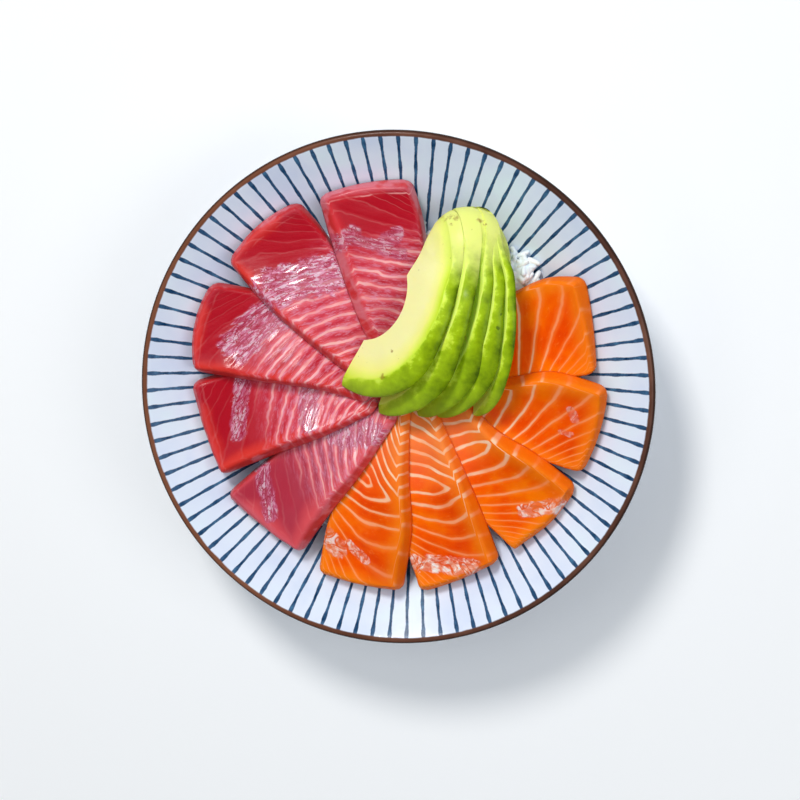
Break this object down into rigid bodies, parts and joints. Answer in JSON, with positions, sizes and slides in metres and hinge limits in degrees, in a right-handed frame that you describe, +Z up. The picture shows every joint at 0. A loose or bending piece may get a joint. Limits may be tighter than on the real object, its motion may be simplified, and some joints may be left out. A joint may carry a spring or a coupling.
{
  "type": "chirashi bowl",
  "caption": "Shallow striped porcelain bowl of rice with tuna and salmon slices fanned round it and a sliced avocado half fanned on top.",
  "frame": {"origin": "under the bowl's centre, on the surface that it stands on", "axes": "+Z up; +X to the right and +Y away from the viewer, who sees the avocado's stem end at the far side"},
  "size_m": [0.21, 0.21, 0.0708],
  "materials": {
    "glaze": "gloss porcelain glaze with painted navy stripes and a brown rim",
    "rice": "moist cooked rice",
    "tuna": "wet raw fish with pale sinews",
    "salmon": "wet raw fish with pale fat lines",
    "avocado": "moist cut flesh, cream inside and green under the peel"
  },
  "bodies": {
    "root": {"bowl": "glaze", "rice": "rice", "tuna_1": "tuna", "tuna_2": "tuna", "tuna_3": "tuna", "tuna_4": "tuna", "tuna_5": "tuna", "salmon_1": "salmon", "salmon_2": "salmon", "salmon_3": "salmon", "salmon_4": "salmon", "salmon_5": "salmon", "avocado_1": "avocado", "avocado_2": "avocado", "avocado_3": "avocado", "avocado_4": "avocado", "avocado_5": "avocado"}
  },
  "joints": []
}
